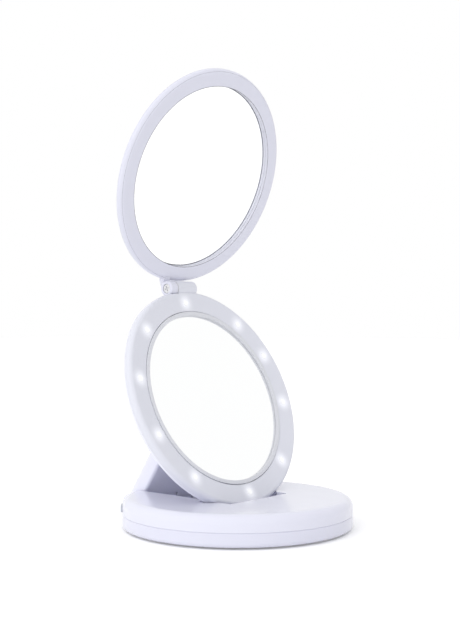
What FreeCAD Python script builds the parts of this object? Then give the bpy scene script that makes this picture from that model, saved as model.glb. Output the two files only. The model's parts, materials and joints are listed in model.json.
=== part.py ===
import FreeCAD, Part
import math
import os

# Lighted makeup mirror that folds like a compact: a round base, an arm, a lit mirror and a lid mirror.
# Millimetres. +Z is up, the mirrors face -Y, and Z = 0 is the surface that the feet stand on.
# The origin is under the middle of the whole object, so the base's own centre lies a little in front.

V = FreeCAD.Vector
X_AXIS = V(1, 0, 0)
Y_AXIS = V(0, 1, 0)
Z_AXIS = V(0, 0, 1)
ORIGIN = V(0, 0, 0)
FULL_TURN = 360.0
RIGHT_ANGLE = 90.0

# Shared values
overrun = 1.0               # how far a cut runs past the face it opens
part_gap = 0.25             # between fitted pieces of one body
running_gap = 0.05          # pin in its bore, on the radius
washer_gap = 0.1            # each side of a friction washer
washer_thickness = 0.6

# Stance of the mirrors, in the base's own frame
seat_clear = 19.7           # from the battery tray to the foot of the lit mirror's front
seat_depth = 4.95           # how far the lit mirror's front dips into the base
lit_tilt = 22.5             # degrees that the lit mirror leans back
lid_tilt = -19.9            # degrees, so the lid mirror leans forward

# Base
base_radius = 75.0
foot_height = 1.2
seam_z = 10.0
base_top_z = 20.5
base_wall = 2.0
shoulder_radius = 6.0
base_edge_radius = 2.5
seam_chamfer = 0.35
lip_wall = 1.5
lip_root = 3.0              # how far the locating lip reaches under the seam
lip_rise = 1.8

# Feet
foot_radius = 6.0
foot_recess = 0.6
foot_inset = 13.5           # from the base's rim
foot_bearing = 32.0         # degrees from the X axis

# Base screws and their bosses
screw_shank_radius = 1.25
screw_head_radius = 2.6
screw_head_height = 1.3
screw_length = 12.0
boss_radius = 3.4
boss_inset = 11.5           # from the base's rim
boss_bearing = 58.0         # degrees from the X axis
cross_width = 0.8
cross_depth = 0.7

# Recess in the top of the base: a wide slot for the lit mirror's rim, a channel for the arm
tub_wall = 1.5
slot_gap = 0.85             # round the lit mirror's rim
slot_depth = 11.1
channel_gap = 0.8           # between the arm's sides and the channel
channel_rear_floor_z = 4.9
notch_inset = 14.0          # from the base's rim, where the channel opens through it

# Battery compartment
cell_radius = 5.25
cell_length = 44.5
cell_pitch = 10.6
cell_count = 3
cell_tip_radius = 1.9
cell_tip_height = 0.8
cell_floor_gap = 0.4
contact_thickness = 0.5
contact_half_width = 4.0
contact_room = 2.0
tray_wall = 1.2
door_margin = 0.8           # door edge beyond the tray's inside
door_groove_count = 4
door_groove_width = 1.2
door_groove_depth = 0.5
door_groove_pitch = 3.0
door_groove_half = 9.0

# Control board and power button
board_thickness = 1.6
board_tub_gap = 1.8
board_rim_inset = 12.0
board_half_y = 17.0
board_lift = 2.8            # standoff height over the floor
standoff_radius = 2.5
standoff_inset = 4.0
switch_length = 6.6
switch_half_y = 3.5
switch_height = 7.4
switch_inset = 7.0          # from the base's rim
switch_lift = 4.4           # height of its post over the floor
plunger_radius = 1.5
button_bearing = 135.0      # degrees from the X axis, so at the rear left
button_z = 13.3
button_half_length = 5.0
button_half_height = 2.4
button_proud = 1.0
button_travel = 0.8
button_flange = 0.8
button_flange_thickness = 1.2
button_flange_inset = 1.2   # flange face inside the wall

# Arm and its hinge on the base
hinge_inset = 1.5           # axis inside the base's rim
hinge_z = 9.2
knuckle_radius = 8.0
arm_half_width = 26.0
arm_half_thickness = 5.7
arm_shoulder = 46.0         # along the arm, where its sides start to draw in
arm_edge_radius = 2.0
arm_wall = 2.2
arm_pocket_bottom = 18.0
arm_pocket_top = 44.0
arm_cover_thickness = 1.8
arm_screw_inset = 5.0
arm_screw_length = 6.0
lug_half = 8.5
lug_radius = 7.6
lug_front = 9.5             # block of the lug in front of the axis
lug_tongue = 16.0           # tongue on the floor in front of the axis
arm_pin_radius = 2.5
arm_pin_inset = 0.8
hinge_washer_radius = 6.0

# Tilt joint behind the lit mirror
tilt_drop = 5.0             # axis below the lit mirror's centre
tilt_gap = 0.5              # between the arm's top knuckle and the lit mirror's back
tilt_knuckle_radius = 5.0
tilt_knuckle_half = 12.0
tilt_neck = 7.5             # length of the arm's narrow top end
ear_thickness = 6.0
ear_radius = 5.5
tilt_pin_radius = 2.0
tilt_pin_inset = 0.3
tilt_washer_radius = 4.2

# Lit mirror
lit_overhang = 0.6          # the lit mirror's radius over the base's, which it shuts on
lit_skirt = 5.0             # depth of the front frame's outer wall
lit_rim = 7.0               # depth where the rear cover starts to draw in
lit_back = 11.0             # whole depth
lit_draw_in = 11.6          # how much narrower the flat of the back is
lit_wall = 2.0
lit_cover_wall = 1.8
lit_edge_radius = 2.5
lit_rear_edge_radius = 1.4
lit_dish = 1.7              # how far the lit mirror's face falls towards its glass
lit_face_width = 14.5
bezel_width = 2.7
bezel_groove = 0.35
bezel_proud = 0.5
bezel_edge_radius = 0.4
lit_glass_step = 1.5        # from the inner edge of the face down to the glass
mirror_thickness = 2.0
frame_inner_wall = 1.5
support_inset = 12.0
support_wall = 2.0
rest_gap = 0.1

# Lamps round the lit mirror, as angles clockwise from the top
lamp_angles = [-2.8, 40.6, 66.4, 97.2, 137.4, 177.0, 219.4, 250.7, 283.0, 315.3]
lamp_inset = 8.7            # from the rim
lens_radius = 2.3
lens_proud = 0.5            # over the face at the lens's middle
lens_edge_radius = 0.45
lens_flange = 0.7
lens_flange_thickness = 0.6
led_half = 1.4
led_height = 0.5
led_board_gap = 0.35
led_board_margin = 3.4      # outside the lamps' circle
led_board_thickness = 1.0

# Lid mirror
lid_inset = 1.8             # the lid mirror's radius under the base's
lid_rear_edge_radius = 0.5
lid_face_width = 11.2
lid_lip = 1.5               # overlap of the face on the glass
lid_lip_edge = 0.45         # thickness of the lip's sharp edge
lid_lip_overhang = 0.5      # of that edge, past the wall under it
lid_skirt = 3.6
lid_rim = 4.2
lid_back = 8.6
lid_draw_in = 16.0
lid_wall = 2.0
lid_cover_wall = 1.6
lid_edge_radius = 3.2
lid_glass_step = 2.65       # from the face down to the glass
lid_support_inset = 14.0

# Hinge between the two mirrors
lit_hinge_offset = 2.9      # axis outside the lit mirror's rim
lid_hinge_offset = 3.2      # axis outside the lid mirror's rim
lid_hinge_drop = 4.0        # axis behind the lit mirror's front
closed_gap = 0.8            # between the two fronts when shut
lid_knuckle_radius = 5.3
lit_knuckle_left = -7.8
lit_knuckle_right = 10.6
lid_knuckle_left = -14.5
neck_inner = 3.4            # neck of the lid's knuckle, towards the lid
neck_outer = 4.0
neck_foot = 6.5
neck_step = 4.4
hinge_notch_gap = 0.5
hinge_seat_depth = 6.5      # solid block in the rim round the hinge
hinge_seat_margin = 2.0
hinge_shank_radius = 1.8
hinge_head_radius = 3.0
hinge_head_height = 2.0
hinge_head_sink = 0.4
hinge_shank_reach = 6.0
hinge_bore_slack = 0.5
knuckle_end_radius = 0.8


def box(x0, x1, y0, y1, z0, z1):
    return Part.makeBox(x1 - x0, y1 - y0, z1 - z0, V(x0, y0, z0))


def rod(radius, start, axis, length):
    return Part.makeCylinder(radius, length, start, axis)


def rod_x(radius, x0, x1, y, z):
    return rod(radius, V(x0, y, z), X_AXIS, x1 - x0)


def rod_z(radius, x, y, z0, z1):
    return rod(radius, V(x, y, z0), Z_AXIS, z1 - z0)


def turned(points):
    """A solid of revolution about Z from (radius, z) points."""
    outline = [V(r, 0, z) for r, z in points]
    return Part.Face(Part.makePolygon(outline + outline[:1])).revolve(ORIGIN, Z_AXIS, FULL_TURN)


def domed(radius, start, rim, back_radius, back):
    """A turned cover: a straight rim, a shoulder that runs smoothly into a flat back."""
    low = V(radius, 0, -rim)
    high = V(back_radius, 0, -back)
    run = radius - back_radius
    drop = back - rim
    bulge = math.hypot(run, drop) / 2 * math.tan(math.atan2(drop, run) / 2)
    outward = V(drop, 0, -run).normalize() * bulge
    shoulder = Part.Arc(low, (low + high) / 2 + outward, high).toShape()
    rest = Part.makePolygon([high, V(0, 0, -back), V(0, 0, start), V(radius, 0, start), low])
    return Part.Face(Part.Wire([shoulder] + rest.Edges)).revolve(ORIGIN, Z_AXIS, FULL_TURN)


def prism_x(points, x0, x1):
    """A prism along X from (y, z) points."""
    outline = [V(x0, y, z) for y, z in points]
    return Part.Face(Part.makePolygon(outline + outline[:1])).extrude(V(x1 - x0, 0, 0))


def prism_z(points, z0, z1):
    """A prism along Z from (x, y) points."""
    outline = [V(x, y, z0) for x, y in points]
    return Part.Face(Part.makePolygon(outline + outline[:1])).extrude(V(0, 0, z1 - z0))


def tube(outer, inner, z0, z1):
    return turned([(inner, z0), (outer, z0), (outer, z1), (inner, z1)])


def rims(shape, radius, z):
    """The round edges of a turned shape at one radius and height."""
    found = []
    for edge in shape.Edges:
        curve = edge.Curve
        if isinstance(curve, Part.Circle) and math.isclose(curve.Radius, radius, abs_tol=running_gap):
            if math.isclose(curve.Center.z, z, abs_tol=running_gap):
                found.append(edge)
    return found


def rounded_rim(shape, radius, z, fillet):
    return shape.makeFillet(fillet, rims(shape, radius, z))


def joined(shapes):
    whole = shapes[0]
    for shape in shapes[1:]:
        whole = whole.fuse(shape)
    return whole.removeSplitter()


def without(shape, cuts):
    for cut in cuts:
        shape = shape.cut(cut)
    return shape


def group(shapes):
    return Part.Compound(shapes)


def cross_slots(reach, x, y, z0, z1):
    half = cross_width / 2
    return [box(x - reach, x + reach, y - half, y + half, z0, z1),
            box(x - half, x + half, y - reach, y + reach, z0, z1)]


def screw_down(x, y, head_z, length):
    """A cross-head screw whose head faces up at head_z, along -Z."""
    head = rod_z(screw_head_radius, x, y, head_z - screw_head_height, head_z)
    shank = rod_z(screw_shank_radius, x, y, head_z - length, head_z - screw_head_height)
    reach = screw_head_radius / 2
    return without(joined([head, shank]), cross_slots(reach, x, y, head_z - cross_depth, head_z + overrun))


def frame_at(y, z, turn):
    return FreeCAD.Placement(V(0, y, z), FreeCAD.Rotation(X_AXIS, turn))


def placed(shape, frame):
    shape = shape.copy()
    shape.Placement = frame.multiply(shape.Placement)
    return shape


# The three discs fold on each other, so both mirrors take their size from the base
lit_radius = base_radius + lit_overhang
lid_radius = base_radius - lid_inset

# Battery tray, as far forward as the shell allows
floor_z = foot_height + base_wall
base_inner_radius = base_radius - base_wall
tray_half_x = cell_length / 2 + cell_tip_height + contact_room
tray_half_y = cell_count * cell_pitch / 2 + part_gap
tub_radius = base_inner_radius - lip_wall - part_gap
cell_middle_y = tray_half_y + tray_wall - math.sqrt(tub_radius**2 - (tray_half_x + tray_wall)**2)
tray_rear_y = cell_middle_y + tray_half_y + tray_wall

# Frames of the mirrors and the arm. Each mirror's local Z is its outward normal, its local Y its own up.
tilt_sin = math.sin(math.radians(lit_tilt))
tilt_cos = math.cos(math.radians(lit_tilt))
lit_seat_y = tray_rear_y + seat_clear
lit_centre_y = lit_seat_y + lit_radius * tilt_sin
lit_centre_z = base_top_z - seat_depth + lit_radius * tilt_cos
lit_frame = frame_at(lit_centre_y, lit_centre_z, RIGHT_ANGLE - lit_tilt)
tilt_depth = lit_back + tilt_gap + tilt_knuckle_radius
tilt_point = lit_frame.multVec(V(0, -tilt_drop, -tilt_depth))
lit_hinge_reach = lit_radius + lit_hinge_offset
lid_hinge_reach = lid_radius + lid_hinge_offset
lid_hinge_point = lit_frame.multVec(V(0, lit_hinge_reach, -lid_hinge_drop))
lid_hinge_stand = closed_gap + lid_hinge_drop
lid_turn = RIGHT_ANGLE - lid_tilt
lid_offset = FreeCAD.Rotation(X_AXIS, lid_turn).multVec(V(0, lid_hinge_reach, -lid_hinge_stand))
lid_centre = lid_hinge_point + lid_offset
lid_frame = frame_at(lid_centre.y, lid_centre.z, lid_turn)

hinge_y = base_radius - hinge_inset
arm_run = hinge_y - tilt_point.y
arm_climb = tilt_point.z - hinge_z
arm_length = math.hypot(arm_run, arm_climb)
arm_rise = math.degrees(math.atan2(arm_climb, arm_run))
arm_frame = frame_at(hinge_y, hinge_z, RIGHT_ANGLE - arm_rise)

# The bounding box runs from the base's front to the back of the arm's knuckles.
rear_reach = hinge_y + knuckle_radius
row_frame = FreeCAD.Placement(V(0, (base_radius - rear_reach) / 2, 0), FreeCAD.Rotation())

lit_back_radius = lit_radius - lit_draw_in
lid_back_radius = lid_radius - lid_draw_in
lid_opening = lid_radius - lid_face_width
lid_seat_radius = lid_opening + lid_lip
frame_opening = lit_radius - lit_face_width
bezel_outer_radius = frame_opening - bezel_groove
bezel_inner_radius = bezel_outer_radius - bezel_width
support_radius = frame_opening - support_inset
lid_support_radius = lid_opening - lid_support_inset
lamp_circle_radius = lit_radius - lamp_inset
lamp_drop = lit_dish * lamp_inset / lit_face_width
lit_glass_z = -lit_dish - lit_glass_step
lid_glass_z = -lid_glass_step
led_board_inner_radius = frame_opening + frame_inner_wall + led_board_gap
led_board_outer_radius = lamp_circle_radius + led_board_margin

# Slot in the base: room for the rim's chord, and for its front edge to swing up and forward
def half_chord(drop):
    """Half the width of the lit mirror where it has dropped this far past a straight edge."""
    return math.sqrt(lit_radius**2 - (lit_radius - drop)**2)


slot_front_half = half_chord(seat_depth / tilt_cos) + slot_gap
slot_half = half_chord((seat_depth + lit_rim * tilt_sin) / tilt_cos) + slot_gap
slot_face_y = lit_seat_y + seat_depth * tilt_sin / tilt_cos
slot_rim_y = slot_face_y + lit_rim / tilt_cos
front_foot = lit_frame.multVec(V(0, -lit_radius, 0))
swing_radius = front_foot.distanceToPoint(tilt_point)
slot_front_y = tilt_point.y - math.sqrt(swing_radius**2 - (tilt_point.z - base_top_z)**2) - slot_gap
slot_rear_y = lit_frame.multVec(V(0, -lit_back_radius, -lit_back)).y + part_gap
slot_floor_z = base_top_z - slot_depth
notch_y = base_radius - notch_inset
channel_half = arm_half_width + channel_gap
knuckle_inner = lug_half + washer_thickness + 2 * washer_gap


def four_places(radius, bearing):
    """Four points on a circle, the same bearing off the X axis on each side."""
    x = radius * math.cos(math.radians(bearing))
    y = radius * math.sin(math.radians(bearing))
    return [(-x, -y), (-x, y), (x, -y), (x, y)]


foot_places = four_places(base_radius - foot_inset, foot_bearing)
boss_places = four_places(base_radius - boss_inset, boss_bearing)

cell_shift_share = (cell_count - 1) / 2
cell_places = [cell_middle_y + (i - cell_shift_share) * cell_pitch for i in range(cell_count)]
cell_axis_z = floor_z + cell_floor_gap + cell_radius
tray_top_z = cell_axis_z + cell_radius + part_gap
door_half_x = tray_half_x + door_margin
door_half_y = tray_half_y + door_margin

board_inner_x = slot_half + tub_wall + board_tub_gap
board_outer_x = base_radius - board_rim_inset
switch_x1 = base_radius - switch_inset
button_back_x = base_inner_radius - button_flange_inset - button_flange_thickness
board_z = floor_z + board_lift
switch_z = floor_z + switch_lift

# The switch and the button are drawn along X and then turned to the button's bearing.
button_frame = FreeCAD.Placement(ORIGIN, FreeCAD.Rotation(Z_AXIS, button_bearing))


def slot_outline(margin):
    """The slot seen from above: narrow at the lit mirror's front, wide at the back of its rim."""
    right = [(slot_front_half + margin, slot_front_y - margin), (slot_front_half + margin, slot_face_y),
             (slot_half + margin, slot_rim_y), (slot_half + margin, slot_rear_y + margin)]
    return right + [(-x, y) for x, y in reversed(right)]


def rear_notch(z0, z1):
    return box(-channel_half, channel_half, notch_y, rear_reach + overrun, z0, z1)


def base_bottom_shell():
    outer = rod_z(base_radius, 0, 0, foot_height, seam_z)
    outer = rounded_rim(outer, base_radius, foot_height, base_edge_radius)
    outer = outer.makeChamfer(seam_chamfer, rims(outer, base_radius, seam_z))
    shell = outer.cut(rod_z(base_inner_radius, 0, 0, floor_z, seam_z + overrun))
    lip_outer = base_inner_radius - part_gap
    lip_inner = base_inner_radius - lip_wall
    lip = joined([tube(base_inner_radius, lip_inner, seam_z - lip_root, seam_z),
                  tube(lip_outer, lip_inner, seam_z, seam_z + lip_rise)])
    button_room = button_half_length + button_flange + part_gap
    room = box(base_inner_radius - 2 * lip_wall, base_radius, -button_room, button_room,
               seam_z - lip_root, base_top_z)
    lip = lip.cut(placed(room, button_frame))
    shell = joined([shell, lip]).cut(rear_notch(0, base_top_z))

    block = box(-lug_half, lug_half, hinge_y - lug_front, hinge_y, hinge_z - lug_radius, hinge_z + lug_radius)
    tongue = box(-lug_half, lug_half, hinge_y - lug_tongue, hinge_y, foot_height, floor_z)
    lug = joined([block, tongue, rod_x(lug_radius, -lug_half, lug_half, hinge_y, hinge_z)])
    standoffs = []
    for x in (board_inner_x + standoff_inset, board_outer_x - standoff_inset):
        for y in (standoff_inset - board_half_y, board_half_y - standoff_inset):
            standoffs.append(rod_z(standoff_radius, x, y, floor_z - part_gap, board_z))
    post = box(switch_x1 - switch_length, switch_x1, -switch_half_y, switch_half_y,
               floor_z - part_gap, switch_z)
    shell = joined([shell, lug, placed(post, button_frame)] + standoffs)

    cuts = [rod_x(arm_pin_radius + running_gap, -lug_half - overrun, lug_half + overrun, hinge_y, hinge_z),
            box(-door_half_x - part_gap, door_half_x + part_gap, cell_middle_y - door_half_y - part_gap,
                cell_middle_y + door_half_y + part_gap, 0, floor_z + overrun)]
    for x, y in foot_places:
        cuts.append(rod_z(foot_radius + part_gap, x, y, 0, foot_height + foot_recess))
    for x, y in boss_places:
        cuts.append(rod_z(screw_shank_radius + part_gap, x, y, 0, floor_z + overrun))
        cuts.append(rod_z(screw_head_radius + part_gap, x, y, 0, foot_height + screw_head_height))
    return without(shell, cuts)


def base_top_shell():
    body = rod_z(base_radius, 0, 0, 0, base_top_z)
    body = rounded_rim(body, base_radius, base_top_z, shoulder_radius)
    hollow = rod_z(base_inner_radius, 0, 0, 0, base_top_z - base_wall)
    hollow = rounded_rim(hollow, base_inner_radius, base_top_z - base_wall, shoulder_radius - base_wall)
    above_seam = box(-base_radius, base_radius, -base_radius, base_radius, seam_z, base_top_z + overrun)
    shell = body.common(above_seam)
    shell = shell.makeChamfer(seam_chamfer, rims(shell, base_radius, seam_z)).cut(hollow)

    channel_side = channel_half + tub_wall
    tub_top = base_top_z - base_wall / 2
    slot_block = prism_z(slot_outline(tub_wall), slot_floor_z - tub_wall, tub_top)
    channel_under_z = channel_rear_floor_z - tub_wall
    channel_block = prism_x([(slot_rear_y, slot_floor_z - tub_wall), (notch_y, channel_under_z),
                             (base_radius, channel_under_z), (base_radius, tub_top), (slot_rear_y, tub_top)],
                            -channel_side, channel_side)
    tub = joined([slot_block, channel_block]).common(rod_z(tub_radius, 0, 0, 0, base_top_z))
    bosses = [rod_z(boss_radius, x, y, floor_z + part_gap, tub_top) for x, y in boss_places]
    shell = joined([shell, tub] + bosses)

    open_top = base_top_z + overrun
    slot = prism_z(slot_outline(0), slot_floor_z, open_top)
    channel = prism_x([(slot_rear_y - overrun, slot_floor_z), (slot_rear_y, slot_floor_z),
                       (notch_y, channel_rear_floor_z), (notch_y + overrun, channel_rear_floor_z),
                       (notch_y + overrun, open_top), (slot_rear_y - overrun, open_top)],
                      -channel_half, channel_half)
    cuts = [slot, channel, rear_notch(0, open_top)]
    hole_length = button_half_length + part_gap
    hole_height = button_half_height + part_gap
    button_hole = box(base_inner_radius - 2 * base_wall, base_radius + overrun, -hole_length, hole_length,
                      button_z - hole_height, button_z + hole_height)
    cuts.append(placed(button_hole, button_frame))
    hole_top = foot_height + screw_length + overrun
    for x, y in boss_places:
        cuts.append(rod_z(screw_shank_radius + running_gap, x, y, floor_z, hole_top))
    return without(shell, cuts)


def feet():
    pads = []
    for x, y in foot_places:
        pads.append(rod_z(foot_radius, x, y, 0, foot_height + foot_recess))
    return group(pads)


def base_screws():
    upright = screw_down(0, 0, 0, screw_length)
    turned_over = placed(upright, FreeCAD.Placement(ORIGIN, FreeCAD.Rotation(X_AXIS, 2 * RIGHT_ANGLE)))
    screws = []
    for x, y in boss_places:
        spot = FreeCAD.Placement(V(x, y, foot_height), FreeCAD.Rotation())
        screws.append(placed(turned_over, spot))
    return group(screws)


def battery_tray():
    z0 = floor_z + rest_gap
    outer = box(-tray_half_x - tray_wall, tray_half_x + tray_wall, cell_middle_y - tray_half_y - tray_wall,
                cell_middle_y + tray_half_y + tray_wall, z0, tray_top_z + tray_wall)
    inner = box(-tray_half_x, tray_half_x, cell_middle_y - tray_half_y, cell_middle_y + tray_half_y,
                z0 - overrun, tray_top_z)
    return outer.cut(inner)


def battery_door():
    plate = box(-door_half_x, door_half_x, cell_middle_y - door_half_y, cell_middle_y + door_half_y,
                foot_height, floor_z)
    grooves = []
    for i in range(door_groove_count):
        y = cell_middle_y + door_half_y - (i + 1) * door_groove_pitch
        grooves.append(box(-door_groove_half, door_groove_half, y, y + door_groove_width,
                           foot_height - overrun, foot_height + door_groove_depth))
    return without(plate, grooves)


def batteries():
    cells = []
    for i, y in enumerate(cell_places):
        can = rod_x(cell_radius, -cell_length / 2, cell_length / 2, y, cell_axis_z)
        if i % 2 == 0:
            tip = rod_x(cell_tip_radius, cell_length / 2, cell_length / 2 + cell_tip_height, y, cell_axis_z)
        else:
            tip = rod_x(cell_tip_radius, -cell_length / 2 - cell_tip_height, -cell_length / 2, y, cell_axis_z)
        cells.append(joined([can, tip]))
    return group(cells)


def battery_contacts():
    plates = []
    for y in cell_places:
        for side in (-1, 1):
            x = side * (tray_half_x - contact_thickness / 2 - rest_gap)
            plates.append(box(x - contact_thickness / 2, x + contact_thickness / 2, y - contact_half_width,
                              y + contact_half_width, cell_axis_z - contact_half_width,
                              cell_axis_z + contact_half_width))
    return group(plates)


def control_board():
    return box(board_inner_x, board_outer_x, -board_half_y, board_half_y, board_z, board_z + board_thickness)


def power_switch():
    body = box(switch_x1 - switch_length, switch_x1, -switch_half_y, switch_half_y,
               switch_z, switch_z + switch_height)
    tip_x = button_back_x - button_travel - running_gap
    return joined([body, rod_x(plunger_radius, switch_x1, tip_x, 0, button_z)])


def power_button():
    face_x = base_radius + button_proud
    cap = box(button_back_x, face_x, -button_half_length, button_half_length,
              button_z - button_half_height, button_z + button_half_height)
    corners = [e for e in cap.Edges if e.BoundBox.XLength > button_half_height]
    cap = cap.makeFillet(button_half_height - running_gap, corners)
    flange_length = button_half_length + button_flange
    flange_height = button_half_height + button_flange
    flange = box(button_back_x, button_back_x + button_flange_thickness, -flange_length, flange_length,
                 button_z - flange_height, button_z + flange_height)
    return joined([cap, flange])


def arm_body():
    outline = [V(-arm_half_width, 0, 0), V(arm_half_width, 0, 0), V(arm_half_width, 0, arm_shoulder),
               V(tilt_knuckle_half, 0, arm_length - tilt_neck), V(tilt_knuckle_half, 0, arm_length),
               V(-tilt_knuckle_half, 0, arm_length), V(-tilt_knuckle_half, 0, arm_length - tilt_neck),
               V(-arm_half_width, 0, arm_shoulder)]
    face = Part.Face(Part.makePolygon(outline + outline[:1]))
    face.translate(V(0, -arm_half_thickness, 0))
    slab = face.extrude(V(0, 2 * arm_half_thickness, 0))
    long_edges = [e for e in slab.Edges
                  if e.BoundBox.YLength < running_gap and e.BoundBox.ZLength > tilt_neck + running_gap]
    slab = slab.makeFillet(arm_edge_radius, long_edges)
    slab = slab.common(box(-arm_half_width, arm_half_width, -knuckle_radius, knuckle_radius,
                           0, arm_length - tilt_knuckle_radius + overrun))
    top_neck = rod_x(tilt_knuckle_radius, -tilt_knuckle_half, tilt_knuckle_half, 0, arm_length)
    body = joined([slab, rod_x(knuckle_radius, -arm_half_width, arm_half_width, 0, 0), top_neck])

    lug_sweep = math.hypot(lug_front, lug_radius) + channel_gap
    pocket = box(arm_wall - arm_half_width, arm_half_width - arm_wall, arm_wall - arm_half_thickness,
                 arm_half_thickness + overrun, arm_pocket_bottom, arm_pocket_top)
    cuts = [rod_x(lug_sweep, -knuckle_inner, knuckle_inner, 0, 0), pocket,
            rod_x(arm_pin_radius + running_gap, -arm_half_width - overrun, arm_half_width + overrun, 0, 0),
            rod_x(tilt_pin_radius + running_gap, -tilt_knuckle_half - overrun, tilt_knuckle_half + overrun,
                  0, arm_length)]
    body = without(body, cuts)
    posts = []
    for x, u in arm_screw_places():
        post = rod(boss_radius, V(x, arm_wall - arm_half_thickness - part_gap, u), Y_AXIS,
                   2 * arm_half_thickness - arm_wall - arm_cover_thickness - rest_gap)
        hole = rod(screw_shank_radius + running_gap, V(x, arm_half_thickness - arm_screw_length, u), Y_AXIS,
                   arm_screw_length)
        posts.append(post.cut(hole))
    return joined([body] + posts)


def arm_screw_places():
    middle = (arm_pocket_bottom + arm_pocket_top) / 2
    side = arm_half_width - arm_wall - part_gap - arm_screw_inset
    return [(-side, middle), (side, middle)]


def arm_rear_cover():
    plate = box(arm_wall - arm_half_width + part_gap, arm_half_width - arm_wall - part_gap,
                arm_half_thickness - arm_cover_thickness, arm_half_thickness,
                arm_pocket_bottom + part_gap, arm_pocket_top - part_gap)
    cuts = []
    for x, u in arm_screw_places():
        cuts.append(rod(screw_shank_radius + part_gap, V(x, 0, u), Y_AXIS, 2 * arm_half_thickness))
        cuts.append(rod(screw_head_radius + part_gap, V(x, arm_half_thickness - screw_head_height, u), Y_AXIS,
                        arm_half_thickness))
    return without(plate, cuts)


def arm_cover_screws():
    upright = screw_down(0, 0, 0, arm_screw_length - part_gap)
    lying = placed(upright, FreeCAD.Placement(ORIGIN, FreeCAD.Rotation(X_AXIS, -RIGHT_ANGLE)))
    screws = []
    for x, u in arm_screw_places():
        spot = FreeCAD.Placement(V(x, arm_half_thickness, u), FreeCAD.Rotation())
        screws.append(placed(lying, spot))
    return group(screws)


def arm_hinge_pin():
    reach = arm_half_width - arm_pin_inset
    return rod_x(arm_pin_radius, -reach, reach, hinge_y, hinge_z)


def washers(radius, bore, inner_x, y, z):
    """A pair of friction washers, one at each side of a centre knuckle."""
    rings = []
    for x in (inner_x + washer_gap, -inner_x - washer_gap - washer_thickness):
        ring = rod_x(radius, x, x + washer_thickness, y, z)
        rings.append(ring.cut(rod_x(bore + running_gap, x - overrun, x + washer_thickness + overrun, y, z)))
    return group(rings)


def knuckle_notch(x0, x1, radius):
    return rod_x(radius, x0, x1, lit_hinge_reach, -lid_hinge_drop)


def hinge_seat(z0, z1, margin):
    """The solid block inside the lit mirror's rim that the hinge's notch is cut in."""
    block = box(lid_knuckle_left - hinge_seat_margin - margin, lit_knuckle_right + hinge_seat_margin + margin,
                lit_radius - hinge_seat_depth - margin, lit_radius, z0, z1)
    return block.common(rod_z(lit_radius - part_gap, 0, 0, z0, z1))


def hinge_cuts():
    notch_radius = math.hypot(neck_inner, neck_step) + hinge_notch_gap
    gap = washer_thickness + 2 * washer_gap
    lid_room = knuckle_notch(lid_knuckle_left - hinge_notch_gap, lit_knuckle_left, notch_radius)
    bore = knuckle_notch(lit_knuckle_left - gap, hinge_shank_reach + hinge_bore_slack,
                         hinge_shank_radius + running_gap)
    return [lid_room, bore]


def lamp_points(radius):
    return [(radius * math.sin(math.radians(a)), radius * math.cos(math.radians(a))) for a in lamp_angles]


def face_ring(radius, opening, skirt, wall, dish, glass_z):
    """A mirror's front frame: an outer wall, a face that falls by dish, an inner wall round the glass."""
    skirt_inner = radius - wall
    inner_wall = opening + frame_inner_wall
    foot_z = glass_z - mirror_thickness
    return turned([(opening, -dish), (radius, 0), (radius, -skirt), (skirt_inner, -skirt),
                   (skirt_inner, -wall), (inner_wall, -wall - dish), (inner_wall, foot_z),
                   (opening, foot_z)])


def end_rims(knuckle, x):
    """The round edges of a knuckle at one end."""
    return [e for e in knuckle.Edges if e.BoundBox.XLength < running_gap
            and math.isclose(e.BoundBox.XMin, x, abs_tol=running_gap)]


def lit_front_frame():
    frame = face_ring(lit_radius, frame_opening, lit_skirt, lit_wall, lit_dish, lit_glass_z)
    frame = rounded_rim(frame, lit_radius, 0, lit_edge_radius)
    knuckle = knuckle_notch(lit_knuckle_left, lit_knuckle_right, lid_knuckle_radius)
    knuckle = knuckle.makeFillet(knuckle_end_radius, end_rims(knuckle, lit_knuckle_right))
    frame = joined([frame, hinge_seat(-lit_skirt, -lit_edge_radius, 0)])
    windows = [rod_z(lens_radius + running_gap, x, y, -lit_skirt, overrun)
               for x, y in lamp_points(lamp_circle_radius)]
    flange_rooms = [rod_z(lens_radius + lens_flange + running_gap, x, y, -lit_skirt, -lamp_drop - lit_wall)
                    for x, y in lamp_points(lamp_circle_radius)]
    frame = without(frame, hinge_cuts()[:1] + windows + flange_rooms)
    return joined([frame, knuckle]).cut(hinge_cuts()[1])


def lit_bezel():
    top_z = bezel_proud - lit_dish
    ring = tube(bezel_outer_radius, bezel_inner_radius, lit_glass_z + rest_gap, top_z)
    ring = rounded_rim(ring, bezel_outer_radius, top_z, bezel_edge_radius)
    return rounded_rim(ring, bezel_inner_radius, top_z, bezel_edge_radius)


def lit_mirror():
    return rod_z(frame_opening - part_gap, 0, 0, lit_glass_z - mirror_thickness, lit_glass_z)


lens_top_z = lens_proud - lamp_drop
lens_seat_z = -lamp_drop - lit_wall - running_gap
lens_back_z = lens_seat_z - lens_flange_thickness
led_board_top_z = lens_back_z - led_height - rest_gap


def led_lenses():
    lenses = []
    for x, y in lamp_points(lamp_circle_radius):
        lens = rod_z(lens_radius, x, y, lens_back_z, lens_top_z)
        lens = lens.makeFillet(lens_edge_radius, rims(lens, lens_radius, lens_top_z))
        flange = rod_z(lens_radius + lens_flange, x, y, lens_back_z, lens_seat_z)
        lenses.append(joined([lens, flange]))
    return group(lenses)


def leds():
    chips = []
    for x, y in lamp_points(lamp_circle_radius):
        chips.append(box(x - led_half, x + led_half, y - led_half, y + led_half,
                         led_board_top_z, led_board_top_z + led_height))
    return group(chips)


def led_board():
    ring = tube(led_board_outer_radius, led_board_inner_radius, led_board_top_z - led_board_thickness,
                led_board_top_z)
    return ring.cut(hinge_seat(-lit_back, lens_proud, part_gap))


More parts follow.
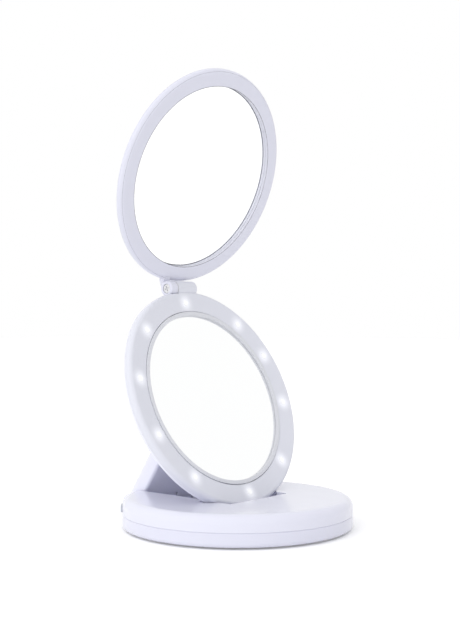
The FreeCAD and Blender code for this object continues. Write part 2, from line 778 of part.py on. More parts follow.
def lit_rear_cover():
    start = -lit_skirt - rest_gap
    outer = domed(lit_radius, start, lit_rim, lit_back_radius, lit_back)
    outer = rounded_rim(outer, lit_radius, -lit_rim, lit_rear_edge_radius)
    floor_inside = lit_cover_wall - lit_back
    inside = turned([(0, start + overrun), (lit_radius - lit_wall, start + overrun),
                     (lit_radius - lit_wall, -lit_rim), (lit_back_radius - lit_wall, floor_inside),
                     (0, floor_inside)])
    cover = outer.cut(inside.cut(hinge_seat(-lit_back, start + overrun, 0)))
    support_top = lit_glass_z - mirror_thickness - rest_gap
    support = tube(support_radius, support_radius - support_wall, -lit_back + lit_cover_wall / 2, support_top)
    ears = []
    ear_inner = tilt_knuckle_half + washer_thickness + 2 * washer_gap
    for x0 in (ear_inner, -ear_inner - ear_thickness):
        block = box(x0, x0 + ear_thickness, -tilt_drop - ear_radius, ear_radius - tilt_drop,
                    -tilt_depth, lit_cover_wall / 2 - lit_back)
        ears += [block, rod_x(ear_radius, x0, x0 + ear_thickness, -tilt_drop, -tilt_depth)]
    cover = joined([cover, support] + ears)
    reach = ear_inner + ear_thickness + overrun
    knuckle_room = knuckle_notch(lit_knuckle_left, lit_knuckle_right + part_gap,
                                 lid_knuckle_radius + part_gap)
    cuts = [rod_x(tilt_pin_radius + running_gap, -reach, reach, -tilt_drop, -tilt_depth), knuckle_room]
    return without(cover, cuts + hinge_cuts()[:1])


def tilt_pin():
    reach = tilt_knuckle_half + washer_thickness + 2 * washer_gap + ear_thickness - tilt_pin_inset
    return rod_x(tilt_pin_radius, -reach, reach, -tilt_drop, -tilt_depth)


def lid_knuckle_right():
    return lit_knuckle_left - washer_thickness - 2 * washer_gap


def lid_front_frame():
    frame = face_ring(lid_radius, lid_seat_radius, lid_skirt, lid_wall, 0, lid_glass_z)
    lip = tube(lid_seat_radius, lid_opening, -lid_lip_edge, 0)
    lip_wall_inside = tube(lid_seat_radius, lid_opening + lid_lip_overhang, lid_glass_z + rest_gap, 0)
    frame = rounded_rim(joined([frame, lip, lip_wall_inside]), lid_radius, 0, lid_edge_radius)
    y = -lid_hinge_reach
    z = lid_hinge_stand
    outline = [(y - neck_outer, z), (y + neck_inner, z), (y + neck_inner, z - neck_step),
               (y + neck_foot, 0), (y + neck_foot, -lid_skirt), (y + neck_inner, -lid_skirt),
               (y - neck_outer, z - neck_step / 2)]
    neck = prism_x(outline, lid_knuckle_left, lid_knuckle_right())
    knuckle = rod_x(lid_knuckle_radius, lid_knuckle_left, lid_knuckle_right(), y, z)
    knuckle = knuckle.makeFillet(knuckle_end_radius, end_rims(knuckle, lid_knuckle_left))
    frame = joined([frame, neck, knuckle])
    head_x = lid_knuckle_left + hinge_head_sink + hinge_head_height + rest_gap
    cuts = [rod_x(hinge_shank_radius + running_gap, lid_knuckle_left - overrun, lit_knuckle_left, y, z),
            rod_x(hinge_head_radius + part_gap, lid_knuckle_left - overrun, head_x, y, z)]
    return without(frame, cuts)


def lid_mirror():
    return rod_z(lid_seat_radius - part_gap, 0, 0, lid_glass_z - mirror_thickness, lid_glass_z)


def lid_rear_cover():
    start = -lid_skirt - rest_gap
    outer = domed(lid_radius, start, lid_rim, lid_back_radius, lid_back)
    outer = rounded_rim(outer, lid_radius, -lid_rim, lid_rear_edge_radius)
    floor_inside = lid_cover_wall - lid_back
    inside = turned([(0, start + overrun), (lid_radius - lid_wall, start + overrun),
                     (lid_radius - lid_wall, -lid_rim), (lid_back_radius - lid_wall, floor_inside),
                     (0, floor_inside)])
    support_top = lid_glass_z - mirror_thickness - rest_gap
    support = tube(lid_support_radius, lid_support_radius - support_wall, -lid_back + lid_cover_wall / 2,
                   support_top)
    return joined([outer.cut(inside), support])


def hinge_screw():
    y = lit_hinge_reach
    z = -lid_hinge_drop
    head_x = lid_knuckle_left + hinge_head_sink
    head = rod_x(hinge_head_radius, head_x, head_x + hinge_head_height, y, z)
    shank = rod_x(hinge_shank_radius, head_x + hinge_head_height, hinge_shank_reach, y, z)
    half = cross_width / 2
    reach = hinge_head_radius / 2 + half
    slots = [box(head_x - overrun, head_x + cross_depth, y - reach, y + reach, z - half, z + half),
             box(head_x - overrun, head_x + cross_depth, y - half, y + half, z - reach, z + reach)]
    return without(joined([head, shank]), slots)


def hinge_washer():
    x0 = lid_knuckle_right() + washer_gap
    x1 = x0 + washer_thickness
    ring = knuckle_notch(x0, x1, lid_knuckle_radius - part_gap)
    return ring.cut(knuckle_notch(x0 - overrun, x1 + overrun, hinge_shank_radius + running_gap))


base_frame = FreeCAD.Placement()
pieces = [
    ("base_bottom_shell", base_bottom_shell(), base_frame),
    ("base_top_shell", base_top_shell(), base_frame),
    ("base_screws", base_screws(), base_frame),
    ("feet", feet(), base_frame),
    ("battery_tray", battery_tray(), base_frame),
    ("battery_door", battery_door(), base_frame),
    ("batteries", batteries(), base_frame),
    ("battery_contacts", battery_contacts(), base_frame),
    ("control_board", control_board(), base_frame),
    ("power_switch", power_switch(), button_frame),
    ("power_button", power_button(), button_frame),
    ("arm_hinge_pin", arm_hinge_pin(), base_frame),
    ("arm_hinge_washers", washers(hinge_washer_radius, arm_pin_radius, lug_half, hinge_y, hinge_z),
     base_frame),
    ("arm_body", arm_body(), arm_frame),
    ("arm_rear_cover", arm_rear_cover(), arm_frame),
    ("arm_cover_screws", arm_cover_screws(), arm_frame),
    ("tilt_pin", tilt_pin(), lit_frame),
    ("tilt_washers", washers(tilt_washer_radius, tilt_pin_radius, tilt_knuckle_half, -tilt_drop, -tilt_depth),
     lit_frame),
    ("lit_rear_cover", lit_rear_cover(), lit_frame),
    ("lit_front_frame", lit_front_frame(), lit_frame),
    ("lit_bezel", lit_bezel(), lit_frame),
    ("lit_mirror", lit_mirror(), lit_frame),
    ("led_board", led_board(), lit_frame),
    ("leds", leds(), lit_frame),
    ("led_lenses", led_lenses(), lit_frame),
    ("hinge_screw", hinge_screw(), lit_frame),
    ("hinge_washer", hinge_washer(), lit_frame),
    ("lid_front_frame", lid_front_frame(), lid_frame),
    ("lid_mirror", lid_mirror(), lid_frame),
    ("lid_rear_cover", lid_rear_cover(), lid_frame),
]

os.makedirs("parts", exist_ok=True)
for name, shape, frame in pieces:
    placed(shape, row_frame.multiply(frame)).exportStep("parts/" + name + ".step")
    print(name, "solids", len(shape.Solids), "valid", shape.isValid(), "volume", round(shape.Volume, 1))
for label, point in (("arm hinge", V(0, hinge_y, hinge_z)), ("tilt axis", tilt_point),
                     ("lid hinge", lid_hinge_point)):
    print(label, row_frame.multVec(point))
print("arm rise", arm_rise, "arm length", arm_length, "lid centre", lid_centre)
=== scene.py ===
import json
import math

import bmesh
import bpy
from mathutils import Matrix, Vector


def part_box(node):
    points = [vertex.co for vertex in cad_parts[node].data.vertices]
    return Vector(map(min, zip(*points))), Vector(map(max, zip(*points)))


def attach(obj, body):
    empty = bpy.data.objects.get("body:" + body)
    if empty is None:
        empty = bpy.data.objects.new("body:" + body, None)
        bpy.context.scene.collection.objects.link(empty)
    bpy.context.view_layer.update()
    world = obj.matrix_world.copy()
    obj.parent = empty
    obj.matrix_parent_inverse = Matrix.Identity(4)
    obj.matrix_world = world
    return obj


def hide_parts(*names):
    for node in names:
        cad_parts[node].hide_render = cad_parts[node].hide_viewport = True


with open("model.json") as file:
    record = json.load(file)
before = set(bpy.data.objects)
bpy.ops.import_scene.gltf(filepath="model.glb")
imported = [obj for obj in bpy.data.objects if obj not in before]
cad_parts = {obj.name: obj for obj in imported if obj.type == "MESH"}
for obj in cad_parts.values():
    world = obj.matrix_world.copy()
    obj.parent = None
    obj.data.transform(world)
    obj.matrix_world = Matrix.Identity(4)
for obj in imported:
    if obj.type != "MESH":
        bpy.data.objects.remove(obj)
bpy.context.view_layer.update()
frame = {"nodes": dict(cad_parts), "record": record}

# Lit mirror and its lamps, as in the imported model
LIT_TILT = math.radians(22.5)
LIT_GLASS_DEPTH = 0.0032        # glass behind the front of the rim
GLASS_THICKNESS = 0.002         # of both mirrors
LAMP_CIRCLE = 0.0669            # radius of the circle that the lamps are on
LAMP_DROP = 0.00102             # face behind the front of the rim, at the lamps
# Degrees from the top, clockwise as seen from the front
LAMP_ANGLES = [-2.8, 40.6, 66.4, 97.2, 137.4, 177.0, 219.4, 250.7, 283.0, 315.3]

# Lid mirror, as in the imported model
LID_TILT = math.radians(-19.9)
LID_GLASS_DEPTH = 0.00265       # glass behind the face
LID_OPENING = 0.062             # radius of the opening in the face
LID_LIP_EDGE = 0.00045          # thickness of the lip's sharp edge, round the opening

# Lamp lens, along its own axis from the face
FLANGE_RADIUS = 0.003
FLANGE_BACK = -0.00265
FLANGE_FRONT = -0.00205
LENS_RADIUS = 0.00228
LENS_SHOULDER = 0.00012
LENS_DOME = 0.00045
LENS_SIDES = 48
DOME_STEPS = 6

# Foot pad
FOOT_RADIUS = 0.006
FOOT_SIDES = 64
FOOT_EDGE = 0.0004
FOOT_BORDER = 0.0011
FOOT_GROOVE = 0.0007
FOOT_GROOVE_DEPTH = 0.0004

# Power button, along its own axis from the middle of the base
BASE_MIDDLE = (0, -0.00325, 0)
BUTTON_BEARING = math.radians(135)
BUTTON_BACK = 0.0706
BUTTON_FACE = 0.076
BUTTON_HEIGHT = 0.0133
BUTTON_HALF_LENGTH = 0.005
BUTTON_HALF_HEIGHT = 0.0024
BUTTON_FLANGE = 0.0008          # flange beyond the cap on each side
BUTTON_FLANGE_THICKNESS = 0.0012
BUTTON_CORNER = 0.00235
BUTTON_EDGE = 0.0004
BUTTON_BORDER = 0.0007
BUTTON_DISH = 0.00015

# Modelling of these three pieces
FACING = 0.5                    # part of a face's normal along an axis, if it looks that way
SQUARE_ON = 0.99                # the same, if it looks straight that way
EDGE_SEGMENTS = 4
CORNER_SEGMENTS = 10
WELD_DISTANCE = 1e-6
DOME_SMOOTH_ANGLE = 40          # degrees, as the next
EDGE_SMOOTH_ANGLE = 35

# Noise and relief of the finishes
EDGE_SOFTNESS = 0.00025         # radius that the shading gives to every hard edge
EDGE_SAMPLES = 4
TONE_DETAIL = 3.0
GRAIN_DETAIL = 2.0
GRAIN_HEIGHT = 0.0002
GLOSS_DRIFT = 3                 # how much finer the gloss drifts than the tone
NOISE_MIDDLE = 0.5

# Finishes by name: tones from dark to light, then scales of noise (drift and grain) and the rest of the skin
SHELL_SKIN = dict(drift=14.0, rough=0.22, rough_spread=0.08, grain=700.0, grain_strength=0.03,
                  IOR=1.5, Coat_Weight=0.25, Coat_Roughness=0.06)
FACE_SKIN = dict(rough_spread=0.08, grain=900.0, grain_strength=0.05, IOR=1.49)
LOOKS = {
    "white_shell": dict(dark=(0.79, 0.795, 0.915), light=(0.82, 0.825, 0.945), **SHELL_SKIN),
    # a lighter copy of the white shell: painted light on the rear covers
    "white_shell_painted_light": dict(dark=(0.83, 0.835, 0.93), light=(0.86, 0.865, 0.96), **SHELL_SKIN),
    # darker copies of the white shell: painted shade on the base, darker on its lower shell
    "base_top": dict(dark=(0.73, 0.735, 0.845), light=(0.76, 0.765, 0.875), **SHELL_SKIN),
    "base_bottom": dict(dark=(0.69, 0.695, 0.81), light=(0.72, 0.725, 0.84), **SHELL_SKIN),
    "lid_face": dict(dark=(0.715, 0.72, 0.825), light=(0.745, 0.75, 0.855), drift=14.0, rough=0.3,
                     **FACE_SKIN),
    "lit_face": dict(dark=(0.71, 0.72, 0.795), light=(0.74, 0.75, 0.825), drift=16.0, rough=0.32,
                     **FACE_SKIN),
    "lit_bezel": dict(dark=(0.68, 0.69, 0.74), light=(0.71, 0.72, 0.77), drift=16.0, rough=0.3,
                      **FACE_SKIN),
    "lamp_lens": dict(dark=(0.43, 0.435, 0.45), light=(0.47, 0.475, 0.48), drift=60.0, rough=0.12,
                      rough_spread=0.04, grain=600.0, grain_strength=0.02, IOR=1.49),
    "lamp_chip": dict(dark=(0.80, 0.66, 0.25), light=(0.88, 0.76, 0.36), drift=300.0, rough=0.45,
                      rough_spread=0.1, grain=900.0, grain_strength=0.1),
    "circuit_board": dict(dark=(0.02, 0.13, 0.06), light=(0.04, 0.18, 0.09), drift=90.0, rough=0.4,
                          rough_spread=0.15, grain=500.0, grain_strength=0.15),
    "plated_steel": dict(dark=(0.74, 0.74, 0.76), light=(0.84, 0.84, 0.86), drift=120.0, rough=0.3,
                         rough_spread=0.12, grain=1200.0, grain_strength=0.08, Metallic=1.0),
    "soft_rubber": dict(dark=(0.075, 0.076, 0.08), light=(0.105, 0.106, 0.11), drift=60.0, rough=0.75,
                        rough_spread=0.15, grain=800.0, grain_strength=0.25),
    "inner_plastic": dict(dark=(0.62, 0.62, 0.63), light=(0.68, 0.68, 0.69), drift=40.0, rough=0.5,
                          rough_spread=0.1, grain=800.0, grain_strength=0.1),
    "cell_jacket": dict(dark=(0.03, 0.034, 0.045), light=(0.05, 0.055, 0.07), drift=60.0, rough=0.35,
                        rough_spread=0.1, grain=500.0, grain_strength=0.05, Coat_Weight=0.4),
    "contact_plate": dict(dark=(0.62, 0.6, 0.54), light=(0.72, 0.7, 0.63), drift=150.0, rough=0.28,
                          rough_spread=0.1, grain=900.0, grain_strength=0.05, Metallic=1.0),
    "button_plastic": dict(dark=(0.5, 0.52, 0.58), light=(0.54, 0.56, 0.62), drift=60.0, rough=0.28,
                           rough_spread=0.08, grain=900.0, grain_strength=0.05),
}

# Painted shade and painted light on the lid's lip
LIP_LINE = 0.0003               # width of the grey line of painted shade along the lip's edge
LIP_SHADE_REACH = 0.00003       # how far the painted shade goes to each side of the line's and the underside's depth
# grey of the painted shade on the lip's edge and underside
LIP_PAINTED_SHADE = (0.16, 0.16, 0.19)
LIP_WALL_REACH = 0.0012         # from the opening to beyond the wall under the lip, which painted light makes paler
# paler tone of the painted light on the wall under the lip
LIP_WALL_PAINTED_LIGHT = (0.86, 0.865, 0.97)

# Light of the lamps, in their lenses and on the face round them
LENS_GLOW_REACH = 0.0024
LENS_EDGE_LIGHT = (0.475, 0.48, 0.49)
LENS_MIDDLE_LIGHT = (0.68, 0.68, 0.69)
FACE_GLOW_REACH = 0.0088
FACE_GLOW_FALL = 2.0            # power of the glow's fall
FACE_GLOW = (0.46, 0.46, 0.46)
NO_LIGHT = (0, 0, 0)

# Mirror glass
GLASS_DARK = (0.985, 0.99, 0.99)
GLASS_LIGHT = (0.995, 1.0, 1.0)
GLASS_DRIFT = 9.0
GLASS_ROUGH = 0.006
GLASS_ROUGH_SPREAD = 0.008
GLASS_ROUGH_DRIFT = 40.0

# Floor, and the sky as light: its level all round, and what each side adds
FLOOR_SIZE = 12.0
FLOOR_DARK = (0.94, 0.94, 0.94)
FLOOR_LIGHT = (0.98, 0.98, 0.98)
FLOOR_DRIFT = 2.0
FLOOR_ROUGH = 0.9
FLOOR_LIFT = (0.15, 0.15, 0.15)     # light that the floor has where none falls on it
SKY_LOW = 0.4
SKY_TOP = 0.6
SKY_LEFT = 1.05
SKY_FRONT = 0.05
WHITE = (1, 1, 1, 1)

# Camera at the photograph's viewing angle, for an image of 460 by 640
CAMERA_PLACE = (-0.54535, -0.4723, 0.13521)
CAMERA_LOOK = (0.7536, 0.6573)      # level, along X and Y
FOCAL_PIXELS = 1100.48
IMAGE_HEIGHT = 640
SENSOR = 36.0

# The lit mirror's own directions, its outward normal and its own up, and the middle of its rim's front
LIT_NORMAL = Vector((0, -math.cos(LIT_TILT), math.sin(LIT_TILT)))
LIT_UP = Vector((0, math.sin(LIT_TILT), math.cos(LIT_TILT)))
LIT_TURN = (math.pi / 2 - LIT_TILT, 0, 0)
glass_low, glass_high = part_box("lit_mirror")
LIT_CENTRE = (glass_low + glass_high) / 2 + LIT_NORMAL * (LIT_GLASS_DEPTH + GLASS_THICKNESS / 2)

# The lid mirror's outward normal, and the middle of its face
LID_NORMAL = Vector((0, -math.cos(LID_TILT), math.sin(LID_TILT)))
glass_low, glass_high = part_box("lid_mirror")
LID_CENTRE = (glass_low + glass_high) / 2 + LID_NORMAL * (LID_GLASS_DEPTH + GLASS_THICKNESS / 2)


def lamp_places():
    """The middle of each lamp, on the face."""
    places = []
    for angle in LAMP_ANGLES:
        turn = math.radians(angle)
        across = Vector((LAMP_CIRCLE * math.sin(turn), 0, 0))
        places.append(LIT_CENTRE - LIT_NORMAL * LAMP_DROP + across + LIT_UP * LAMP_CIRCLE * math.cos(turn))
    return places


class Shade:
    """A socket in a node tree, with operators that add Math nodes."""

    def __init__(self, recipe, socket):
        self.recipe = recipe
        self.socket = socket

    def math(self, operation, first, second):
        return self.recipe.node("ShaderNodeMath", {"operation": operation}, {0: first, 1: second})

    def __add__(self, other):
        return self.math("ADD", self, other)

    def __radd__(self, other):
        return self.math("ADD", other, self)

    def __sub__(self, other):
        return self.math("SUBTRACT", self, other)

    def __rsub__(self, other):
        return self.math("SUBTRACT", other, self)

    def __mul__(self, other):
        return self.math("MULTIPLY", self, other)

    def __rmul__(self, other):
        return self.math("MULTIPLY", other, self)

    def __truediv__(self, other):
        return self.math("DIVIDE", self, other)

    def __pow__(self, other):
        return self.math("POWER", self, other)

    def at_least(self, other):
        return self.math("MAXIMUM", self, other)

    def between(self, low, high):
        """One between the two values and zero outside."""
        return self.math("GREATER_THAN", self, low) * self.math("LESS_THAN", self, high)


class Recipe:
    """A node tree under construction."""

    # Sockets of the Mix node that hold colours
    MIX_FACTOR, MIX_FIRST, MIX_SECOND, MIX_RESULT = 0, 6, 7, 2

    def __init__(self, tree):
        self.tree = tree

    def node(self, kind, settings, inputs, output=0):
        made = self.tree.nodes.new(kind)
        for name, value in settings.items():
            setattr(made, name, value)
        for key, value in inputs.items():
            self.set(made.inputs[key], value)
        return Shade(self, made.outputs[output])

    def set(self, socket, value):
        if isinstance(value, Shade):
            self.tree.links.new(value.socket, socket)
        else:
            socket.default_value = value

    def blend(self, factor, first, second):
        """From the first colour to the second; each is three numbers or a socket."""
        first, second = (tone if isinstance(tone, Shade) else (*tone, 1) for tone in (first, second))
        inputs = {self.MIX_FACTOR: factor, self.MIX_FIRST: first, self.MIX_SECOND: second}
        return self.node("ShaderNodeMix", {"data_type": "RGBA"}, inputs, self.MIX_RESULT)

    def seen(self):
        """One where the eye sees the surface, straight or in a mirror; zero for light that it scatters."""
        rays = [self.node("ShaderNodeLightPath", {}, {}, ray)
                for ray in ("Is Camera Ray", "Is Glossy Ray", "Is Transmission Ray")]
        return rays[0].at_least(rays[1]).at_least(rays[2])


class Finish(Recipe):
    """A material: a Principled shader and the nodes that feed it."""

    def __init__(self, name, **constants):
        self.material = bpy.data.materials.new(name)
        self.material.use_nodes = True
        super().__init__(self.material.node_tree)
        self.shader = self.tree.nodes["Principled BSDF"]
        for socket, value in constants.items():
            self.feed(socket.replace("_", " "), value)
        self.place = self.node("ShaderNodeTexCoord", {}, {}, "Object")

    def feed(self, socket, value):
        self.set(self.shader.inputs[socket], value)

    def noise(self, scale, detail=TONE_DETAIL):
        inputs = {"Vector": self.place, "Scale": scale, "Detail": detail}
        return self.node("ShaderNodeTexNoise", {}, inputs, "Fac")

    def measure(self, operation, vector):
        """The surface's distance from a point, or how far along a direction it lies."""
        inputs = {0: self.place, 1: vector}
        return self.node("ShaderNodeVectorMath", {"operation": operation}, inputs, "Value")

    def glow(self, factor, first, second):
        """Emits light, from the first colour to the second."""
        self.feed("Emission Color", self.blend(factor, first, second))
        self.feed("Emission Strength", 1.0)

    def skin(self, height, strength):
        """Fine relief over softened edges."""
        soft = self.node("ShaderNodeBevel", {"samples": EDGE_SAMPLES}, {"Radius": EDGE_SOFTNESS}, "Normal")
        inputs = {"Strength": strength, "Distance": GRAIN_HEIGHT, "Height": height, "Normal": soft}
        self.feed("Normal", self.node("ShaderNodeBump", {}, inputs, "Normal"))


def drifting_finish(name, dark, light, drift, rough, rough_spread, grain, grain_strength, **constants):
    """A finish whose tone and gloss drift slowly and whose skin has a fine grain."""
    finish = Finish(name, **constants)
    finish.tone = finish.blend(finish.noise(drift), dark, light)
    finish.feed("Base Color", finish.tone)
    finish.feed("Roughness", rough + rough_spread * (finish.noise(drift * GLOSS_DRIFT) - NOISE_MIDDLE))
    finish.skin(finish.noise(grain, GRAIN_DETAIL), grain_strength)
    return finish


def plain_finish(name):
    return drifting_finish(name, **LOOKS[name])


def lid_face():
    """Painted shade in grey along the lip's edge and on its underside, and painted light that makes the wall
    under the lip paler.
    """
    finish = plain_finish("lid_face")
    depth = LID_NORMAL.dot(LID_CENTRE) - finish.measure("DOT_PRODUCT", LID_NORMAL)
    outward = finish.measure("DISTANCE", LID_CENTRE)
    # masks of the painted shade on the underside and along the edge, and of the painted light on the wall
    under = depth.between(LID_LIP_EDGE - LIP_SHADE_REACH, LID_LIP_EDGE + LIP_SHADE_REACH)
    line = outward.between(0.0, LID_OPENING + LIP_LINE) * depth.between(-LIP_SHADE_REACH, LIP_SHADE_REACH)
    inside = outward.between(0.0, LID_OPENING + LIP_WALL_REACH)
    wall = inside * depth.between(LIP_SHADE_REACH, LID_GLASS_DEPTH)
    tone = finish.blend(wall, finish.tone, LIP_WALL_PAINTED_LIGHT)
    finish.feed("Base Color", finish.blend(under + line, tone, LIP_PAINTED_SHADE))
    return finish


def lamp_nearness(finish, reach):
    """One in the middle of a lamp, falling to zero at this reach."""
    nearest = None
    for place in lamp_places():
        near = (1.0 - finish.measure("DISTANCE", place) / reach).at_least(0.0)
        nearest = near if nearest is None else nearest.at_least(near)
    return nearest


def lit_face():
    finish = plain_finish("lit_face")
    finish.glow(lamp_nearness(finish, FACE_GLOW_REACH) ** FACE_GLOW_FALL, NO_LIGHT, FACE_GLOW)
    return finish


def lamp_lens():
    finish = plain_finish("lamp_lens")
    finish.glow(lamp_nearness(finish, LENS_GLOW_REACH), LENS_EDGE_LIGHT, LENS_MIDDLE_LIGHT)
    return finish


def mirror_glass():
    finish = Finish("mirror_glass", Metallic=1.0)
    finish.feed("Base Color", finish.blend(finish.noise(GLASS_DRIFT), GLASS_DARK, GLASS_LIGHT))
    finish.feed("Roughness", GLASS_ROUGH + GLASS_ROUGH_SPREAD * finish.noise(GLASS_ROUGH_DRIFT))
    return finish


def white_floor():
    finish = Finish("white_floor", Roughness=FLOOR_ROUGH)
    finish.feed("Base Color", finish.blend(finish.noise(FLOOR_DRIFT), FLOOR_DARK, FLOOR_LIGHT))
    finish.glow(finish.seen(), NO_LIGHT, FLOOR_LIFT)
    return finish


def dress(thing, finish):
    thing.data.materials.clear()
    thing.data.materials.append(finish.material)


slot_finishes = {
    "white_shell": plain_finish("white_shell"),
    "face_plastic": lid_face(),
    "mirror": mirror_glass(),
    "lens": lamp_lens(),
    "lamp_chip": plain_finish("lamp_chip"),
    "board": plain_finish("circuit_board"),
    "steel": plain_finish("plated_steel"),
    "rubber": plain_finish("soft_rubber"),
    "inner_plastic": plain_finish("inner_plastic"),
    "cell": plain_finish("cell_jacket"),
    "contact": plain_finish("contact_plate"),
    "button": plain_finish("button_plastic"),
}

# Nodes with a finish of their own in place of their slot's. The rear covers take a lighter copy of the white
# shell, painted light, and the base shells darker copies, painted shade.
node_finishes = {
    "lit_front_frame": lit_face(),
    "lit_bezel": plain_finish("lit_bezel"),
    "lit_rear_cover": plain_finish("white_shell_painted_light"),
    "lid_rear_cover": plain_finish("white_shell_painted_light"),
    # painted shade: the base shells take darker copies of the white shell
    "base_top_shell": plain_finish("base_top"),
    "base_bottom_shell": plain_finish("base_bottom"),
}

for part in frame["record"]["subparts"]:
    finish = node_finishes.get(part["node"], slot_finishes[part["material_slot"]])
    dress(frame["nodes"][part["node"]], finish)


# Modelling helpers, each acting on the one piece in edit mode
def start_piece(name):
    piece = bpy.context.active_object
    piece.name = name
    bpy.ops.object.transform_apply(location=True, rotation=True, scale=True)
    bpy.ops.object.mode_set(mode="EDIT")
    return piece


def pick_faces(piece, wanted):
    """Selects the faces whose normal and middle are wanted, and nothing else."""
    shape = bmesh.from_edit_mesh(piece.data)
    bpy.ops.mesh.select_all(action="DESELECT")
    bpy.ops.mesh.select_mode(type="FACE")
    for face in shape.faces:
        face.select_set(wanted(face.normal, face.calc_center_median()))
    bmesh.update_edit_mesh(piece.data)


def pick_edges(piece, wanted):
    """Selects the edges whose two ends are wanted, and nothing else."""
    shape = bmesh.from_edit_mesh(piece.data)
    bpy.ops.mesh.select_mode(type="EDGE")
    bpy.ops.mesh.select_all(action="DESELECT")
    for edge in shape.edges:
        edge.select_set(wanted(edge.verts[0].co, edge.verts[1].co))
    bmesh.update_edit_mesh(piece.data)


def pull(x, y, z):
    bpy.ops.mesh.extrude_region_move(TRANSFORM_OT_translate={"value": (x, y, z)})


def round_edges(radius, segments):
    bpy.ops.mesh.bevel(offset=radius, segments=segments, affect="EDGES")


def finish_piece(smooth_angle):
    bpy.ops.mesh.select_all(action="SELECT")
    bpy.ops.mesh.remove_doubles(threshold=WELD_DISTANCE)
    bpy.ops.mesh.normals_make_consistent(inside=False)
    bpy.ops.object.mode_set(mode="OBJECT")
    bpy.ops.object.shade_smooth_by_angle(angle=math.radians(smooth_angle))


def copies_at(pattern, places, turn, name):
    """Copies of one modelled piece at their places, joined into one, with the place in the mesh."""
    made = []
    for place in places:
        copy = pattern.copy()
        copy.data = pattern.data.copy()
        bpy.context.scene.collection.objects.link(copy)
        copy.rotation_euler = turn
        copy.location = place
        made.append(copy)
    bpy.data.objects.remove(pattern)
    bpy.ops.object.select_all(action="DESELECT")
    for copy in made:
        copy.select_set(True)
    bpy.context.view_layer.objects.active = made[0]
    bpy.ops.object.transform_apply(location=True, rotation=True, scale=True)
    if len(made) > 1:
        bpy.ops.object.join()
    made[0].name = name
    return made[0]


def carry(piece, node, body, slot):
    """The piece stands for a node, moves with its body and takes its finish."""
    dress(piece, slot_finishes[slot])
    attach(piece, body)
    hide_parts(node)


def lamp_lenses():
    bpy.ops.object.select_all(action="DESELECT")
    flange_middle = (FLANGE_BACK + FLANGE_FRONT) / 2
    bpy.ops.mesh.primitive_cylinder_add(vertices=LENS_SIDES, radius=FLANGE_RADIUS,
                                        depth=FLANGE_FRONT - FLANGE_BACK, location=(0, 0, flange_middle))
    lens = start_piece("lamp_lens")
    pick_faces(lens, lambda normal, middle: normal.z > FACING)
    bpy.ops.mesh.inset(thickness=FLANGE_RADIUS - LENS_RADIUS)
    pull(0, 0, LENS_SHOULDER - FLANGE_FRONT)
    reach, height = 1.0, 0.0
    for step in range(1, DOME_STEPS + 1):
        angle = step / (DOME_STEPS + 1) * math.pi / 2
        rise = LENS_DOME * math.sin(angle) - height
        pull(0, 0, rise)
        share = math.cos(angle) / reach
        middle = (0, 0, LENS_SHOULDER + height + rise)
        bpy.ops.transform.resize(value=(share, share, 1), center_override=middle)
        reach, height = math.cos(angle), height + rise
    finish_piece(DOME_SMOOTH_ANGLE)
    carry(copies_at(lens, lamp_places(), LIT_TURN, "lamp_lenses"), "led_lenses", "lit_mirror_body", "lens")


def foot_pads():
    low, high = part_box("feet")
    height = high.z - low.z
    bpy.ops.object.select_all(action="DESELECT")
    bpy.ops.mesh.primitive_cylinder_add(vertices=FOOT_SIDES, radius=FOOT_RADIUS, depth=height,
                                        location=(0, 0, height / 2))
    pad = start_piece("foot_pad")
    pick_faces(pad, lambda normal, middle: normal.z < -FACING)
    round_edges(FOOT_EDGE, EDGE_SEGMENTS)
    pick_faces(pad, lambda normal, middle: normal.z < -SQUARE_ON and middle.length < FOOT_EDGE)
    bpy.ops.mesh.inset(thickness=FOOT_BORDER)
    bpy.ops.mesh.inset(thickness=FOOT_EDGE)
    bpy.ops.transform.translate(value=(0, 0, FOOT_GROOVE_DEPTH))
    bpy.ops.mesh.inset(thickness=FOOT_GROOVE)
    bpy.ops.mesh.inset(thickness=FOOT_EDGE)
    bpy.ops.transform.translate(value=(0, 0, -FOOT_GROOVE_DEPTH))
    finish_piece(EDGE_SMOOTH_ANGLE)
    places = [(x, y, low.z) for x in (low.x + FOOT_RADIUS, high.x - FOOT_RADIUS)
              for y in (low.y + FOOT_RADIUS, high.y - FOOT_RADIUS)]
    carry(copies_at(pad, places, (0, 0, 0), "foot_pads"), "feet", "base", "rubber")


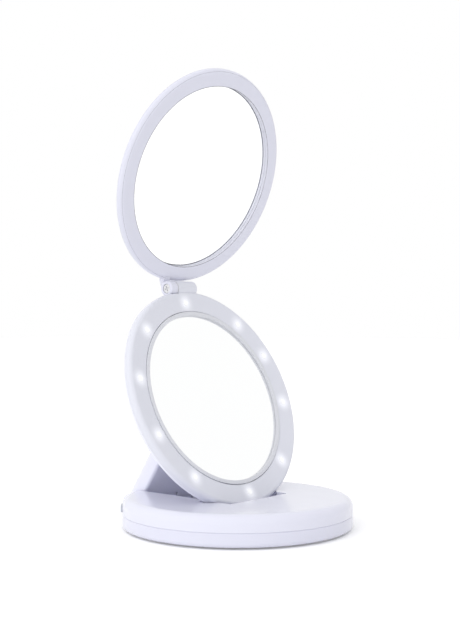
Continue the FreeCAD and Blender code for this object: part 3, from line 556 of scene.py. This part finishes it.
def power_button():
    plate_front = BUTTON_BACK + BUTTON_FLANGE_THICKNESS
    plate_length = 2 * (BUTTON_HALF_LENGTH + BUTTON_FLANGE)
    plate_height = 2 * (BUTTON_HALF_HEIGHT + BUTTON_FLANGE)
    bpy.ops.object.select_all(action="DESELECT")
    bpy.ops.mesh.primitive_cube_add(size=1, location=((BUTTON_BACK + plate_front) / 2, 0, BUTTON_HEIGHT),
                                    scale=(BUTTON_FLANGE_THICKNESS, plate_length, plate_height))
    button = start_piece("power_button_cap")
    pick_faces(button, lambda normal, middle: normal.x > FACING)
    bpy.ops.mesh.inset(thickness=BUTTON_FLANGE)
    pull(BUTTON_FACE - plate_front, 0, 0)
    pick_edges(button, lambda first, second: min(first.x, second.x) > plate_front - BUTTON_EDGE
               and abs(first.x - second.x) > BUTTON_FLANGE_THICKNESS)
    round_edges(BUTTON_CORNER, CORNER_SEGMENTS)
    pick_faces(button, lambda normal, middle: normal.x > FACING and middle.x > BUTTON_FACE - BUTTON_EDGE)
    round_edges(BUTTON_EDGE, EDGE_SEGMENTS)
    pick_faces(button, lambda normal, middle: normal.x > SQUARE_ON and middle.x > BUTTON_FACE - BUTTON_DISH)
    bpy.ops.mesh.inset(thickness=BUTTON_BORDER)
    bpy.ops.transform.translate(value=(-BUTTON_DISH, 0, 0))
    finish_piece(EDGE_SMOOTH_ANGLE)
    button = copies_at(button, [BASE_MIDDLE], (0, 0, BUTTON_BEARING), "power_button_cap")
    carry(button, "power_button", "button", "button")


def add_floor():
    bpy.ops.object.select_all(action="DESELECT")
    bpy.ops.mesh.primitive_plane_add(size=FLOOR_SIZE, location=(0, 0, 0))
    floor = bpy.context.active_object
    floor.name = "floor"
    dress(floor, white_floor())


def studio_world():
    """White where it is seen; as light, a sky that is brightest at the left and then overhead."""
    world = bpy.data.worlds.new("studio")
    bpy.context.scene.world = world
    world.use_nodes = True
    recipe = Recipe(world.node_tree)
    heading = recipe.node("ShaderNodeTexCoord", {}, {}, "Generated")
    right, back, up = [recipe.node("ShaderNodeSeparateXYZ", {}, {0: heading}, axis)
                       for axis in ("X", "Y", "Z")]
    sky = SKY_LOW + SKY_TOP * up.at_least(0.0) + SKY_LEFT * (0.0 - right).at_least(0.0)
    sky = sky + SKY_FRONT * (0.0 - back).at_least(0.0)
    seen = recipe.seen()
    background = world.node_tree.nodes["Background"]
    recipe.set(background.inputs["Color"], WHITE)
    recipe.set(background.inputs["Strength"], seen + (1.0 - seen) * sky)


def place_camera():
    view = bpy.data.cameras.new("camera")
    view.sensor_width = SENSOR
    view.lens = FOCAL_PIXELS / IMAGE_HEIGHT * SENSOR
    viewer = bpy.data.objects.new("camera", view)
    bpy.context.scene.collection.objects.link(viewer)
    viewer.location = CAMERA_PLACE
    viewer.rotation_euler = (math.pi / 2, 0, math.atan2(-CAMERA_LOOK[0], CAMERA_LOOK[1]))
    bpy.context.scene.camera = viewer


lamp_lenses()
foot_pads()
power_button()
add_floor()
studio_world()
place_camera()
bpy.context.scene.view_settings.view_transform = "Standard"
